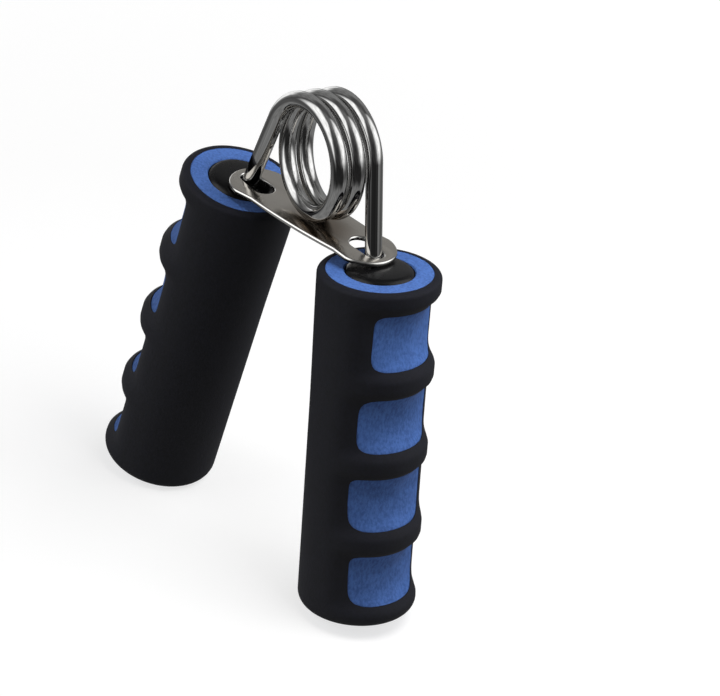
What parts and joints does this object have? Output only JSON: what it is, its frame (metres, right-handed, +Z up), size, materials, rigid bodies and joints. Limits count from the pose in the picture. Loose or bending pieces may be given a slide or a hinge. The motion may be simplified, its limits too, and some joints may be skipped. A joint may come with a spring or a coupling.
{
  "type": "hand grip strengthener",
  "caption": "Hand grip strengthener: a torsion spring between foam-covered handles with finger grooves, held at rest by a slotted stop plate.",
  "frame": {"origin": "bottom centre of the part's box: midway between the handles, level with the lowest edge of the sleeves", "axes": "+Z up from the handle ends to the spring coil, X from the left handle to the right one, Y through the part; the coil's axis is turned 13.5 degrees from +Y towards +X"},
  "size_m": [0.109, 0.031, 0.1329],
  "materials": {
    "spring_chrome": "bright chrome plate on drawn spring wire",
    "plate_nickel": "dull polished nickel plate on stamped steel, bright at the edges",
    "core_plastic": "black moulded plastic with a soft sheen",
    "foam_blue": "fine closed-cell foam, ground in the finger grooves",
    "foam_black": "fine closed-cell foam with a smooth skin"
  },
  "bodies": {
    "spring": {"spring_coil": "spring_chrome"},
    "left_grip": {"left_spring_leg": "spring_chrome", "left_handle_core": "core_plastic", "left_end_plug": "core_plastic", "left_inner_foam": "foam_blue", "left_outer_foam": "foam_black"},
    "right_grip": {"right_spring_leg": "spring_chrome", "right_handle_core": "core_plastic", "right_end_plug": "core_plastic", "right_inner_foam": "foam_blue", "right_outer_foam": "foam_black"},
    "stop_plate": {"stop_plate": "plate_nickel"}
  },
  "joints": [
    {"name": "left_squeeze", "type": "hinge", "parent": "spring", "child": "left_grip", "pos_m": [0, 0, 0.11606], "axis": [-0.2334, -0.9724, 0], "range_deg": [0, 11.5], "stiffness_Nm_per_rad": 32, "springref_deg": -1.15, "deforming": ["spring_coil"]},
    {"name": "right_squeeze", "type": "hinge", "parent": "spring", "child": "right_grip", "pos_m": [0, 0, 0.11606], "axis": [0.2334, 0.9724, 0], "range_deg": [0, 11.5], "stiffness_Nm_per_rad": 32, "springref_deg": -1.15},
    {"name": "plate_sink", "type": "slide", "parent": "spring", "child": "stop_plate", "axis": [0, 0, -1], "range_m": [0, 0.0046]}
  ],
  "couplings": [
    {"joint": "right_squeeze", "follows": "left_squeeze", "ratio": 1},
    {"joint": "plate_sink", "follows": "left_squeeze", "m_per_rad": 0.0229}
  ]
}
